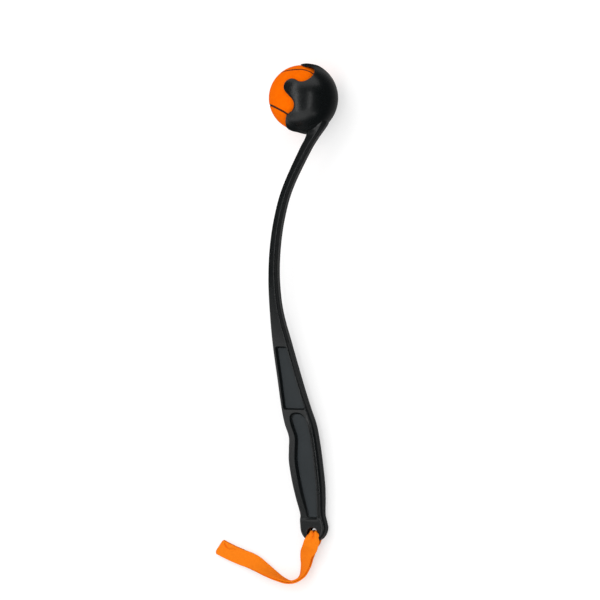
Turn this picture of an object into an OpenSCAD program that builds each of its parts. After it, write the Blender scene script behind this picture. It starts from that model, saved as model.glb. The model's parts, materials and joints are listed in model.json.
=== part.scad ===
// Ball launcher stick with a clawed cup, a bowed shaft, a two-shell handle, a wrist strap and its ball.
// It lies on its left and right sides alike: the cup and the strapped end of the handle meet the floor.
// Local frame of the stick: X to its back, Y towards the cup, Z to its left side, origin at the cup's centre.

/* [Ball] */
// Diameter of the ball
ball_d = 65; // [58:0.5:70]
// Thickness of the felt on the ball
felt_t = 2; // [1:0.1:3]
// Wall of the ball's rubber core
core_wall = 4; // [2:0.5:8]
// Width of the glued seam between the felt panels
seam_w = 1.8; // [1:0.1:3]
// Depth of the seam below the felt
seam_drop = 0.4; // [0.1:0.1:0.8]

/* [Cup] */
// Room between the ball and the cup
ball_room = 0.8; // [0.8:0.1:1.6]
// Gap left behind the ball where it seats in the cup
seat_gap = 0.8; // [0.1:0.05:0.8]
// Wall of the cup
cup_wall = 2.7; // [2:0.1:5]
// Lean of the mouth's axis towards the tip of the stick, in degrees
mouth_lean = 12; // [8:1:16]
// Radius of the rounded side claws
claw_r = 7.4; // [6:0.1:7.8]
// Height of the claws' centre above the ball's centre
claw_up = 10.2; // [9.6:0.1:12]
// Distance of the claws' centre behind the ball's centre
claw_back = 4; // [2:0.1:4.4]
// Radius of the notch above each claw
top_notch_r = 7.8; // [5:0.1:8.4]
// Radius of the notch below each claw
low_notch_r = 8.7; // [6:0.1:9.5]

/* [Shaft] */
// Thickness of the shaft in the plane of its bow
shaft_w = 6.9; // [4:0.1:8]
// Width of the shaft across its bow
shaft_t = 13.5; // [8:0.5:14]
// Rounding of the shaft's edges
shaft_r = 1.5; // [0.8:0.1:1.9]
// How far the back of the shaft bows forward of the cup's centre
bow = 26.5; // [18:0.5:34]
// Thickness of the tang inside the handle
tang_t = 3.4; // [2.4:0.1:4]
// Depth of the tang in the plane of the bow
tang_w = 8; // [6:0.5:10]
// Length of the tang
tang_len = 52; // [40:1:58]

/* [Handle] */
// Distance from the cup's centre to the top of the handle
handle_at = 242; // [236:0.5:248]
// Depth of the handle at its top
top_w = 16; // [12:0.5:18]
// Depth of the handle at the finger notch
notch_w = 28.6; // [24:0.2:30]
// Greatest depth of the grip
grip_w = 32.4; // [28:0.2:34]
// Width of the grip across the two shells
grip_t = 15.5; // [14:0.25:18]
// Depth of the waist above the strapped end
waist_w = 24; // [19:0.5:24]
// Depth of the round end
end_w = 27.2; // [23:0.2:28]
// Width of the round end across the two shells
end_t = 12; // [10.5:0.25:14]
// Length of the half ellipse that closes the end
end_len = 14.6; // [13:0.2:20]
// Rounding of the grip's front edges
front_r = 2.4; // [1.5:0.1:3]
// Rounding of the grip's back edges
back_r = 4.5; // [3:0.1:5]
// Radius of the cross pins in the tang
pin_r = 1.8; // [1.2:0.1:2.4]

/* [Side panels] */
// Height of the upper panel's floor over the middle of the handle
plate_floor = 3.2; // [2.8:0.1:3.6]
// Thickness of the plain plate in the upper panel
plate_t = 0.8; // [0.5:0.1:1.2]
// Rim in front of the upper panel
plate_front_rim = 4; // [2:0.1:4]
// Rim behind the upper panel
plate_back_rim = 2.1; // [1.2:0.1:3]
// Height of the grip panel's floor over the middle of the handle
inlay_floor = 3.2; // [2:0.1:4]
// Thickness of the soft inlay in the grip panel
inlay_t = 1.4; // [0.8:0.1:2]
// Rim in front of the grip panel
inlay_front_rim = 8.8; // [5:0.1:9]
// Rim behind the grip panel
inlay_back_rim = 5.5; // [4:0.1:7]

/* [Strap] */
// Diameter of the strap hole
hole_d = 11.6; // [10.5:0.1:12]
// Distance from the cup's centre to the strap hole
hole_at = 428.5; // [426:0.5:430]
// Width of the webbing
web_w = 15.5; // [12:0.5:16]
// Thickness of the webbing
web_t = 1.3; // [0.8:0.1:1.5]
// Width of the webbing where it is gathered in the hole
gather_w = 8.6; // [7:0.1:9]
// Thickness of the webbing where it is gathered in the hole
gather_t = 2; // [1.5:0.1:2.2]
// Height of the round end over the floor, where the strap passes below it
strap_room = 3.2; // [3:0.1:5]
// Thickness of the sewing thread
thread_d = 0.6; // [0.4:0.1:0.8]
// Number of stitches in each row
stitch_count = 5; // [3:1:7]

/* [Hidden] */
$fn = 96;
// Gap round pieces that are laid or pressed into a pocket
fit_gap = 0.1;
// Reach of cutting shapes past what they cut
past = 1;

ball_r = ball_d / 2;
core_r = ball_r - felt_t;
cup_in_r = ball_r + ball_room;
cup_r = cup_in_r + cup_wall;
far = 2 * cup_r;

// Mouth of the cup, seen from the side: lean of its edges, and the notches set about the claw
// by a direction and by the length between their circles
lip_lean = 35;
brow_lean = 21;
claw_c = [claw_back, claw_up];
top_notch_way = 51.6;
low_notch_way = 254.3;
top_join = 0.1;
low_join = 2.4;
top_notch_c = claw_c + (claw_r + top_notch_r + top_join) * [cos(top_notch_way), sin(top_notch_way)];
low_notch_c = claw_c + (claw_r + low_notch_r + low_join) * [cos(low_notch_way), sin(low_notch_way)];
arc_steps = 16;
// Scooping lip below the mouth: place in X and height over the cup's lowest point
lip = [[1, 1.6], [-4, 2.8], [-7.2, 4.6], [-7.8, 7], [-6, 11], [-2, 18]];

// Outline of the stick: distance from the cup's centre, back edge, depth, width, front and back rounding
bow_at = 180;
neck_at = 16;
shoulder_at = 321;
notch_at = 334;
grip_at = 358;
waist_at = 410;
end_at = 422;
tip_at = end_at + end_len;
stick = [
    [neck_at, 27.6, shaft_w + 4.2, shaft_t, shaft_r, shaft_r],
    [29, 23.1, shaft_w + 3.4, shaft_t, shaft_r, shaft_r],
    [50, 8.8, shaft_w + 1.5, shaft_t, shaft_r, shaft_r],
    [90, 14 - bow, shaft_w, shaft_t, shaft_r, shaft_r],
    [120, 5 - bow, shaft_w - 0.2, shaft_t, shaft_r, shaft_r],
    [150, 0.6 - bow, shaft_w, shaft_t, shaft_r, shaft_r],
    [bow_at, -bow, shaft_w + 0.6, shaft_t, shaft_r, shaft_r],
    [210, 3.8 - bow, shaft_w + 2.9, shaft_t, shaft_r, shaft_r],
    [handle_at, -13.2, top_w, shaft_t + 0.5, shaft_r, shaft_r],
    [280, -1.1, (top_w + notch_w) / 2, (shaft_t + grip_t) / 2 - 0.6, shaft_r, shaft_r],
    [306, 8.3, notch_w - 0.6, grip_t - 1.5, front_r, back_r * 0.6],
    [shoulder_at, 14.2, notch_w + 1.6, grip_t - 0.5, front_r, back_r * 0.85],
    [notch_at, 17.3, notch_w, grip_t, front_r, back_r],
    [345, 19.2, (notch_w + grip_w) / 2, grip_t, front_r, back_r],
    [grip_at, 21.1, grip_w, grip_t, front_r, back_r],
    [380, 23.7, grip_w - 1.4, grip_t, front_r, back_r],
    [396, 24.4, (grip_w + waist_w) / 2 - 0.7, (grip_t + end_t) / 2 + 1.2, front_r, back_r],
    [waist_at, 24.7, waist_w, (grip_t + end_t) / 2 - 0.4, front_r, back_r],
    [416, 26.3, end_w - 1, end_t + 0.4, front_r, back_r * 0.9],
    [end_at, 27.7, end_w, end_t, front_r, back_r * 0.8]
];
// Columns of the outline
BACK = 1;
DEPTH = 2;
WIDTH = 3;
FRONT_R = 4;
BACK_R = 5;
// Rounding of the tip across the two shells
tip_r = 2.5;
// Spacing of the rings along the shaft and the handle
ring_step = 6;

// Side panels along the handle
plate_top = handle_at + 4;
plate_end = 306;
plate_corner = 1.2;
inlay_top = plate_end + 5;
inlay_end = 412.6;
// The round top of the grip panel stays within the width that the rims leave
inlay_corner = min(7, 0.45 * (depth_at(inlay_top) - inlay_front_rim - inlay_back_rim));
inlay_low_corner = 3;
pin_places = [handle_at + 18, handle_at + 40];
pin_len = 2 * plate_floor - 0.8;

// Resting pose: the pitch that brings the strapped end down to the floor, and the height of the cup's centre,
// which the slanting edge below the claw lets sink a little
pitch = asin((cup_r - end_t / 2 - strap_room) / hole_at);
low_edge = joining(claw_c, claw_r, low_notch_c, low_notch_r, -1);
edge_off = ([0, -cup_r * sin(pitch)] - claw_c) * [cos(low_edge), sin(low_edge)] - claw_r;
rest_h = sqrt(cup_r * cup_r - edge_off * edge_off);
hole_x = edge(end_at, BACK) - end_w / 2;
hole_y = -hole_at * cos(pitch);
hole_z = rest_h - hole_at * sin(pitch);

// Strap route from the hole: offset in X and Y, height, turn on edge,
// spacing and skew of its two layers, width and thickness of the webbing
lie = 3.6;
edge_lie = web_t + 0.5;
wrap = end_t + gather_t + 0.6;
strap_route = [
    [0, 0, hole_z, 0, wrap, 0, gather_w, gather_t],
    [-1.9, -7.5, 8.9, 0, wrap, 4.5, web_w - 1, gather_t - 0.5],
    [-5.2, -14.2, 8.6, 2, wrap - 1.6, 5.5, web_w, gather_t - 0.5],
    [-7.6, -22, 7.8, 19, 6, 4, web_w, web_t],
    [-9.4, -31.2, 7.2, 34, lie - 1.3, 0.6, web_w, web_t],
    [-12.1, -39.8, 7.6, 52, edge_lie + 0.1, 0, web_w, web_t],
    [-18, -46.5, 8.2, 76, edge_lie, 0, web_w, web_t],
    [-27.3, -48.9, 8.2, 90, edge_lie, 0, web_w, web_t],
    [-37, -46.2, 8.2, 92, edge_lie, 0, web_w, web_t],
    [-48.5, -40.4, 8.2, 77, edge_lie + 0.2, 0, web_w, web_t],
    [-60, -34, 6.9, 40, lie - 1.2, 0, web_w, web_t],
    [-70.5, -29, 4.3, 11, lie - 0.4, 0, web_w, web_t],
    [-82.5, -25, 3.5, 0, lie, 0, web_w, web_t],
    [-94.5, -20.8, 3.5, 0, lie, 0, web_w, web_t],
    [-105.5, -16.6, 3.5, 0, lie, 0, web_w, web_t]
];
TURN = 3;
SPACING = 4;
SKEW = 5;
WEB_W = 6;
WEB_T = 7;
route_steps = 2;
hole_bend = 2.5;
// Lapped end of the webbing, sewn to the lower layer inside the loop
lap_from = 24;
lap_to = 27;
lap_gap = 0.1;

// Smooth curve through the rows of a table, by its first column
function row_before(rows, d, i = 0) =
    i >= len(rows) - 2 || d < rows[i + 1][0] ? i : row_before(rows, d, i + 1);
function row_slope(rows, i, c) =
    let (a = max(i - 1, 0), b = min(i + 1, len(rows) - 1))
    (rows[b][c] - rows[a][c]) / (rows[b][0] - rows[a][0]);
function along(rows, d, c) =
    let (
        i = row_before(rows, d),
        h = rows[i + 1][0] - rows[i][0],
        t = (d - rows[i][0]) / h
    )
    (1 + 2 * t) * pow(1 - t, 2) * rows[i][c] + t * pow(1 - t, 2) * h * row_slope(rows, i, c)
    + t * t * (3 - 2 * t) * rows[i + 1][c] - t * t * (1 - t) * h * row_slope(rows, i + 1, c);

// Loss of size at a distance x from the end of a rounding of radius r
function rounding(x, r) = x >= r ? 0 : r - sqrt(max(r * r - pow(r - x, 2), 0));

// Any column of the outline, with the half ellipse past the last row
function edge(d, c) = along(stick, min(d, end_at), c);
function depth_at(d) =
    d <= end_at ? edge(d, DEPTH) : end_w * sqrt(max(1 - pow((d - end_at) / end_len, 2), 0));
function back_at(d) = edge(d, BACK) - (d > end_at ? (end_w - depth_at(d)) / 2 : 0);
function front_at(d) = back_at(d) - depth_at(d);
function half_width_at(d) = edge(d, WIDTH) / 2 - rounding(tip_at - d, tip_r);

// Left half of the stick's section at a distance d, from the front edge over the side to the back edge
function half_section(d) =
    let (
        b = back_at(d),
        f = front_at(d),
        h = half_width_at(d),
        most = 0.45 * min(depth_at(d), 2 * h),
        rf = min(edge(d, FRONT_R), most),
        rb = min(edge(d, BACK_R), most)
    )
    concat(
        [[f, 0]],
        [for (a = [180:-30:90]) [f + rf + rf * cos(a), h - rf + rf * sin(a)]],
        [for (a = [90:-22.5:0]) [b - rb + rb * cos(a), h - rb + rb * sin(a)]],
        [[b, 0]]
    );
function whole_section(d) =
    let (s = half_section(d), n = len(s))
    concat(s, [for (i = [n - 2:-1:1]) [s[i].x, -s[i].y]]);
function stick_ring(section, d) = [for (p = section) [p.x, -d, p.y]];

// Closed or capped solid through rings of the same number of points
module skin(rings, closed = false) {
    n = len(rings);
    m = len(rings[0]);
    points = [for (r = rings) each r];
    sides = [
        for (i = [0:closed ? n - 1 : n - 2], j = [0:m - 1])
            let (a = i * m, b = (i + 1) % n * m, k = (j + 1) % m)
            each [[a + j, b + k, b + j], [a + j, a + k, b + k]]
    ];
    first_cap = closed ? [] : [for (j = [1:m - 2]) [0, j + 1, j]];
    last_cap = closed ? [] : [for (j = [1:m - 2]) [(n - 1) * m, (n - 1) * m + j, (n - 1) * m + j + 1]];
    polyhedron(points, concat(sides, first_cap, last_cap));
}

// The stick's resting pose on the floor
module lay() {
    translate([0, 0, rest_h])
        rotate([pitch, 0, 0])
            children();
}

// Points of an arc about a centre, from one angle to another
function arc(c, r, from, to, n) =
    [for (i = [0:n]) c + r * [cos(from + (to - from) * i / n), sin(from + (to - from) * i / n)]];

// Direction from circle A to where the slanting line that joins it to circle B leaves it, to either side
function joining(a, ra, b, rb, side) =
    let (to = b - a)
    atan2(to.y, to.x) + side * acos((ra + rb) / norm(to));

// Mouth of the cup: two notches about a claw on each side, an open brow above and a scooping lip below
module mouth_outline() {
    to_top = joining(claw_c, claw_r, top_notch_c, top_notch_r, 1);
    low = arc(low_notch_c, low_notch_r, lip_lean - 90, low_edge + 180, arc_steps);
    claw = arc(claw_c, claw_r, low_edge, to_top - 360, arc_steps);
    top = arc(top_notch_c, top_notch_r, to_top - 180, 90 - brow_lean, arc_steps);
    polygon(concat(
        [[-far, -far], [far, -far]],
        [for (p = lip) [p.x, p.y - cup_r]],
        low,
        claw,
        top,
        [top[arc_steps] + far * [-cos(brow_lean), sin(brow_lean)]]
    ));
}

module cup() {
    color([0.15, 0.16, 0.17])
        lay()
            difference() {
                rotate([0, 90, 0])
                    ball_shell(cup_r, cup_in_r);
                linear_extrude(height = 2 * far, center = true)
                    mouth_outline();
            }
}

// Tang that the shaft sends into the handle, with a gap all round for its pocket
module tang_block(gap) {
    ends = [handle_at - past, handle_at + tang_len + gap];
    stations = [for (i = [0:8]) ends[0] + i * (ends[1] - ends[0]) / 8];
    half = tang_w / 2 + gap;
    outline = concat(
        [for (d = stations) [back_at(d) - depth_at(d) / 2 - half, -d]],
        [for (i = [8:-1:0]) [back_at(stations[i]) - depth_at(stations[i]) / 2 + half, -stations[i]]]
    );
    linear_extrude(height = tang_t + 2 * gap, center = true)
        polygon(outline);
}

module pin_cut(gap) {
    for (d = pin_places)
        translate([back_at(d) - depth_at(d) / 2, -d, 0])
            cylinder(r = pin_r + gap, h = pin_len + 2 * gap, center = true);
}

module shaft() {
    count = round((handle_at - neck_at) / ring_step);
    stations = [for (i = [0:count]) neck_at + i * (handle_at - neck_at) / count];
    color([0.16, 0.17, 0.18])
        lay()
            difference() {
                union() {
                    skin([for (d = stations) stick_ring(whole_section(d), d)]);
                    tang_block(0);
                }
                sphere(r = cup_r);
                pin_cut(fit_gap);
            }
}

// Outline of a side panel between two distances, inside rims, with rounded ends
module panel(from, to, front_rim, back_rim, top_corner, low_corner, gap) {
    f0 = from + gap;
    t0 = to - gap;
    stations = concat(
        [for (a = [0:15:90]) f0 + top_corner * (1 - cos(a))],
        [for (i = [1:9]) f0 + top_corner + i * (t0 - low_corner - f0 - top_corner) / 10],
        [for (a = [90:-15:0]) t0 - low_corner * (1 - cos(a))]
    );
    inset = [for (d = stations) gap + rounding(d - f0, top_corner) + rounding(t0 - d, low_corner)];
    n = len(stations);
    polygon(concat(
        [for (i = [0:n - 1]) [front_at(stations[i]) + front_rim + inset[i], -stations[i]]],
        [for (i = [n - 1:-1:0]) [back_at(stations[i]) - back_rim - inset[i], -stations[i]]]
    ));
}

module plate_panel(gap) {
    panel(plate_top, plate_end, plate_front_rim, plate_back_rim, plate_corner, plate_corner, gap);
}

module inlay_panel(gap) {
    panel(inlay_top, inlay_end, inlay_front_rim, inlay_back_rim, inlay_corner, inlay_low_corner, gap);
}

// One shell of the handle, drawn for the left side
module handle_shell() {
    body_count = round((end_at - handle_at) / ring_step);
    body = [for (i = [0:body_count]) handle_at + i * (end_at - handle_at) / body_count];
    cap = [for (a = [10:10:80]) end_at + end_len * sin(a)];
    difference() {
        skin([for (d = concat(body, cap)) stick_ring(half_section(d), d)]);
        tang_block(fit_gap);
        pin_cut(fit_gap);
        translate([0, 0, plate_floor])
            linear_extrude(height = grip_t)
                plate_panel(0);
        translate([0, 0, inlay_floor])
            linear_extrude(height = grip_t)
                inlay_panel(0);
        translate([hole_x, -hole_at, -past])
            cylinder(d = hole_d, h = grip_t);
    }
}

module handle_left() {
    color([0.17, 0.18, 0.19])
        lay()
            handle_shell();
}

module handle_right() {
    color([0.15, 0.16, 0.17])
        lay()
            mirror([0, 0, 1])
                handle_shell();
}

module tang_pins() {
    color([0.6, 0.61, 0.63])
        lay()
            pin_cut(0);
}

module grip_inlay() {
    translate([0, 0, inlay_floor])
        linear_extrude(height = inlay_t)
            inlay_panel(fit_gap);
}

module grip_inlay_left() {
    color([0.25, 0.26, 0.27])
        lay()
            grip_inlay();
}

module grip_inlay_right() {
    color([0.25, 0.26, 0.27])
        lay()
            mirror([0, 0, 1])
                grip_inlay();
}

module label_plate() {
    translate([0, 0, plate_floor])
        linear_extrude(height = plate_t)
            plate_panel(fit_gap);
}

module label_plate_left() {
    color([0.24, 0.25, 0.26])
        lay()
            label_plate();
}

module label_plate_right() {
    color([0.24, 0.25, 0.26])
        lay()
            mirror([0, 0, 1])
                label_plate();
}

// Smooth values along the strap's route, its columns taken at even steps
route_rows = [for (i = [0:len(strap_route) - 1]) concat([i], strap_route[i])];
function route(s, c) = along(route_rows, s, c + 1);
function route_point(s) = [hole_x + route(s, 0), hole_y + route(s, 1), route(s, 2)];
function unit(v) = v / norm(v);
// Direction of the strap's run, from neighbouring points on its route
function run_at(s) =
    s < 0.01 ? [0, -cos(pitch), -sin(pitch)]
    : unit(route_point(min(s + 0.05, len(strap_route) - 1)) - route_point(s - 0.05));
// Direction out of the webbing's upper face
function face_at(s) =
    let (
        run = run_at(s),
        up = unit([0, 0, 1] - run.z * run),
        turn = route(s, TURN)
    )
    up * cos(turn) + cross(run, up) * sin(turn);

// Flat ring of webbing at a point, across its width and its face direction
function web_ring(point, across, face, w, t) =
    [for (p = [[-1, 0.4], [-0.92, 1], [0.92, 1], [1, 0.4], [1, -0.4], [0.92, -1], [-0.92, -1], [-1, -0.4]])
        point + across * p.x * w / 2 + face * p.y * t / 2];
function layer_ring(s, side, off = 0) =
    let (face = face_at(s), across = cross(run_at(s), face))
    web_ring(
        route_point(s) + face * (side * route(s, SPACING) / 2 + off) - across * side * route(s, SKEW) / 2,
        across, face * side, route(s, WEB_W), route(s, WEB_T)
    );

// Loop of webbing: upper layer, fold at the far end, lower layer, and the way up through the hole
function strap_rings() =
    let (
        last = len(strap_route) - 1,
        start = hole_bend / norm(route_point(1) - route_point(0)),
        n = last * route_steps,
        stops = [for (i = [0:n]) max(i / route_steps, start)],
        tip = route_point(last),
        tip_run = run_at(last),
        tip_face = face_at(last),
        tip_half = route(last, SPACING) / 2,
        hole = route_point(0),
        run = run_at(0),
        face = face_at(0),
        across = cross(run, face),
        rise = wrap / 2 - hole_bend
    )
    concat(
        [for (s = stops) layer_ring(s, 1)],
        [for (a = [36:36:144])
            web_ring(
                tip + tip_half * (tip_run * sin(a) + tip_face * cos(a)),
                cross(tip_run, tip_face), tip_run * sin(a) + tip_face * cos(a), web_w, web_t
            )],
        [for (i = [n:-1:0]) layer_ring(stops[i], -1)],
        [for (a = [30:30:90])
            web_ring(
                hole + run * hole_bend * (1 - sin(a)) - face * (rise + hole_bend * cos(a)),
                across, -face * cos(a) - run * sin(a), gather_w, gather_t
            )],
        [for (a = [90:-30:30])
            web_ring(
                hole + run * hole_bend * (1 - sin(a)) + face * (rise + hole_bend * cos(a)),
                across, face * cos(a) - run * sin(a), gather_w, gather_t
            )]
    );

// Stops of the lapped end along the route
lap_stops = [for (i = [lap_to:-1:lap_from]) i / route_steps];

module wrist_strap() {
    color([0.98, 0.5, 0.08])
        union() {
            skin(strap_rings(), closed = true);
            skin([for (s = lap_stops) layer_ring(s, -1, web_t + lap_gap)]);
        }
}

// Rows of thread across the lapped end, on the lower face of the loop
module strap_stitching() {
    row_ends = [lap_from / route_steps + 0.25, lap_to / route_steps - 0.25];
    pitch_w = (web_w - 4) / stitch_count;
    color([0.9, 0.42, 0.05])
        for (s = row_ends, i = [0:stitch_count - 1]) {
            face = face_at(s);
            across = cross(run_at(s), face);
            middle = route_point(s) - face * (route(s, SPACING) / 2 + web_t / 2);
            along_web = (i - (stitch_count - 1) / 2) * pitch_w;
            translate(middle + across * along_web - face * thread_d / 2)
                rotate([0, 0, atan2(across.y, across.x)])
                    rotate([0, 90, 0])
                        cylinder(d = thread_d, h = 0.8 * pitch_w, center = true, $fn = 16);
        }
}

// The ball in its seat, with its own X out of the mouth and its seam turned as it lies
ball_turn = -76;
waist_slope = tan(15);
seam_out = (ball_r - seam_drop / 2) * sqrt(0.5);
module seated() {
    lay()
        rotate([0, 0, 180 - mouth_lean])
            translate([seat_gap - ball_room, 0, 0])
                rotate([ball_turn, 0, 0])
                    children();
}

module ball_shell(outer, inner) {
    difference() {
        sphere(r = outer);
        sphere(r = inner);
    }
}

// Block on one side of the ball's middle plane
module half_space(side) {
    translate([side > 0 ? 0 : -far, -far / 2, -far / 2])
        cube(far);
}

module core_half(side) {
    color([0.2, 0.2, 0.2])
        seated()
            intersection() {
                ball_shell(core_r, core_r - core_wall);
                half_space(side);
            }
}

module ball_core_front() {
    core_half(1);
}

module ball_core_rear() {
    core_half(-1);
}

// Tapering strip between the two arcs of the seam on one half of the ball, grown by a margin
module seam_strip(grow) {
    rotate([90, 0, 0])
        linear_extrude(height = far, center = true)
            polygon([
                [0, seam_out + grow],
                [ball_r + past, seam_out - waist_slope * (ball_r + past) + grow],
                [ball_r + past, -seam_out + waist_slope * (ball_r + past) - grow],
                [0, -seam_out - grow]
            ]);
}

// Dog-bone region of one felt panel: a strip on one half of the ball and what the other strip leaves
module felt_region(margin) {
    seam_strip(-margin);
    difference() {
        half_space(-1);
        rotate([90, 0, 0])
            mirror([1, 0, 0])
                seam_strip(margin);
    }
}

module felt_panel() {
    intersection() {
        ball_shell(ball_r, core_r);
        felt_region(seam_w / 2);
    }
}

module ball_felt_a() {
    color([0.98, 0.43, 0.02])
        seated()
            felt_panel();
}

module ball_felt_b() {
    color([0.96, 0.42, 0.02])
        seated()
            rotate([90, 0, 0])
                mirror([1, 0, 0])
                    felt_panel();
}

module ball_seam() {
    color([0.3, 0.15, 0.03])
        seated()
            difference() {
                ball_shell(ball_r - seam_drop, core_r);
                felt_region(seam_w / 2);
                rotate([90, 0, 0])
                    mirror([1, 0, 0])
                        felt_region(seam_w / 2);
            }
}

cup();
shaft();
handle_left();
handle_right();
tang_pins();
grip_inlay_left();
grip_inlay_right();
label_plate_left();
label_plate_right();
wrist_strap();
strap_stitching();
ball_core_front();
ball_core_rear();
ball_felt_a();
ball_felt_b();
ball_seam();
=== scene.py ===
import json
import math

import bpy
from mathutils import Matrix, Vector


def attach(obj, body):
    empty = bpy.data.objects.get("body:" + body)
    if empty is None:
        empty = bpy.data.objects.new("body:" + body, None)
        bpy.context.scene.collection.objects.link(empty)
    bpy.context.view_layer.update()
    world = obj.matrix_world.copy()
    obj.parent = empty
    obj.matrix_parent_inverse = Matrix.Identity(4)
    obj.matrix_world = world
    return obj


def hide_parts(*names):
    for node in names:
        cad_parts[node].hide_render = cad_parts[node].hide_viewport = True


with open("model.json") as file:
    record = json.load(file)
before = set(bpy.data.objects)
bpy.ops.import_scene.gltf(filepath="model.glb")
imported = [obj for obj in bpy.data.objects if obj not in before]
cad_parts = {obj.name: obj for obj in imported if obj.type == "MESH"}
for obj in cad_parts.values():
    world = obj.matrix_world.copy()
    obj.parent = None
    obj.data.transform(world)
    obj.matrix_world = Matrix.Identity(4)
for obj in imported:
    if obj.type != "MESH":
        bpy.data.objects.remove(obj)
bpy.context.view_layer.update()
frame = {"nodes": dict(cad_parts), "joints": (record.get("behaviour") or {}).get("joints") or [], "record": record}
bpy.ops.object.select_all(action="DESELECT")
scene = bpy.context.scene
scene.view_settings.view_transform = "Standard"

# The stick's own frame, in millimetres: u to its back, d from the cup's centre to the tip, w to its left side
MM = 0.001
JOINTS = {j["name"]: j for j in frame["joints"]}
MOUNTS = {m["name"]: m for m in frame["record"]["mounts"]}
TO_LEFT = Vector(JOINTS["strap_swing"]["axis"]).normalized()
TO_BACK = Vector((1, 0, 0))
TO_CUP = TO_LEFT.cross(TO_BACK).normalized()
CUP_CENTRE = Vector(MOUNTS["ball_seat"]["pos_m"])
MOUTH = Vector(JOINTS["ball_release"]["axis"]).normalized()
HOLE = Vector(JOINTS["strap_swing"]["pos_m"])


def spot(u, d, w):
    return CUP_CENTRE + (TO_BACK * u - TO_CUP * d + TO_LEFT * w) * MM


# Camera
LEAN = math.radians(26)
FRAME_MM = 591.6
LENS = 200
SENSOR = 36
CLIP_END = 50
aim = spot(-1.9, 199, 0)
to_camera = TO_BACK * math.sin(LEAN) + TO_LEFT * math.cos(LEAN)
to_right = TO_CUP.cross(to_camera)
camera_data = bpy.data.cameras.new("camera")
camera_data.lens = LENS
camera_data.sensor_width = SENSOR
camera_data.clip_end = CLIP_END
camera = bpy.data.objects.new("camera", camera_data)
scene.collection.objects.link(camera)
camera.rotation_mode = "QUATERNION"
camera.location = aim + to_camera * FRAME_MM * MM * LENS / SENSOR
camera.rotation_quaternion = Matrix((to_right, TO_CUP, to_camera)).transposed().to_quaternion()
scene.camera = camera


# Modelling helpers
def pick(obj):
    bpy.ops.object.select_all(action="DESELECT")
    obj.select_set(True)
    bpy.context.view_layer.objects.active = obj


def mesh_op(obj, select="SELECT"):
    pick(obj)
    bpy.ops.object.mode_set(mode="EDIT")
    bpy.ops.mesh.select_mode(type="VERT")
    bpy.ops.mesh.select_all(action=select)


def object_mode():
    bpy.ops.object.mode_set(mode="OBJECT")


def modify(obj, kind, **settings):
    pick(obj)
    bpy.ops.object.modifier_add(type=kind)
    modifier = obj.modifiers[-1]
    for key, value in settings.items():
        setattr(modifier, key, value)
    bpy.ops.object.modifier_apply(modifier=modifier.name)


def merge(obj, distance=1e-6):
    mesh_op(obj)
    bpy.ops.mesh.remove_doubles(threshold=distance)
    object_mode()


def outward(obj):
    mesh_op(obj)
    bpy.ops.mesh.normals_make_consistent(inside=False)
    object_mode()


def cap_ends(obj):
    mesh_op(obj)
    bpy.ops.mesh.fill_holes(sides=0)
    object_mode()


def smooth(obj, angle):
    pick(obj)
    bpy.ops.object.shade_smooth_by_angle(angle=math.radians(angle))


def round_edges(obj, width, segments):
    modify(
        obj, "BEVEL", width=width * MM, segments=segments,
        limit_method="ANGLE", angle_limit=math.radians(50),
    )


def cut(obj, tool, operation="DIFFERENCE"):
    modify(obj, "BOOLEAN", operation=operation, object=tool, solver="EXACT")
    bpy.data.objects.remove(tool)


def laid_grid(name, rows, run=None, width=1.0):
    """A grid whose lines follow the rows of points; run and width lay its UV map out in millimetres."""
    down, across = len(rows) - 1, len(rows[0]) - 1
    bpy.ops.object.select_all(action="DESELECT")
    bpy.ops.mesh.primitive_grid_add(x_subdivisions=across, y_subdivisions=down, size=1)
    obj = bpy.context.active_object
    obj.name = name
    cells = [(round((v.co.y + 0.5) * down), round((v.co.x + 0.5) * across)) for v in obj.data.vertices]
    for v, (row, column) in zip(obj.data.vertices, cells):
        v.co = rows[row][column]
    if run:
        flat = obj.data.uv_layers.active.data
        for loop in obj.data.loops:
            row, column = cells[loop.vertex_index]
            flat[loop.index].uv = (column / across * width, run[row])
    obj.data.update()
    return obj


def closed_loft(name, rows):
    """A solid through rings of points, each ring ending on its first point."""
    obj = laid_grid(name, rows)
    merge(obj, 2e-6)
    cap_ends(obj)
    outward(obj)
    return obj


def cad_copy(name, node):
    source = frame["nodes"][node]
    obj = bpy.data.objects.new(name, source.data.copy())
    obj.data.materials.clear()
    scene.collection.objects.link(obj)
    merge(obj)
    return obj


def dress(obj, material, slot, body, *nodes):
    obj.data.materials.clear()
    obj.data.materials.append(material)
    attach(obj, body)
    if nodes:
        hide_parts(*nodes)


def ease(t):
    t = min(max(t, 0), 1)
    return t * t * (3 - 2 * t)


def ramp(x, start, end):
    """Soft rise from 0 at the start to 1 at the end, which may lie on either side."""
    return ease((x - start) / (end - start))


def hump(x, width):
    """Bell curve about 0."""
    return math.exp(-((x / width) ** 2))


def turn_of(angle):
    """Cosine and sine of an angle in degrees."""
    return math.cos(math.radians(angle)), math.sin(math.radians(angle))


# A smooth curve through the rows of a table, by their first column
def through(rows, x, column):
    i = 0
    while i < len(rows) - 2 and x >= rows[i + 1][0]:
        i += 1

    def slope(k):
        a, b = max(k - 1, 0), min(k + 1, len(rows) - 1)
        return (rows[b][column] - rows[a][column]) / (rows[b][0] - rows[a][0])

    h = rows[i + 1][0] - rows[i][0]
    t = (x - rows[i][0]) / h
    return (
        (1 + 2 * t) * (1 - t) ** 2 * rows[i][column]
        + t * (1 - t) ** 2 * h * slope(i)
        + t * t * (3 - 2 * t) * rows[i + 1][column]
        - t * t * (1 - t) * h * slope(i + 1)
    )


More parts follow.
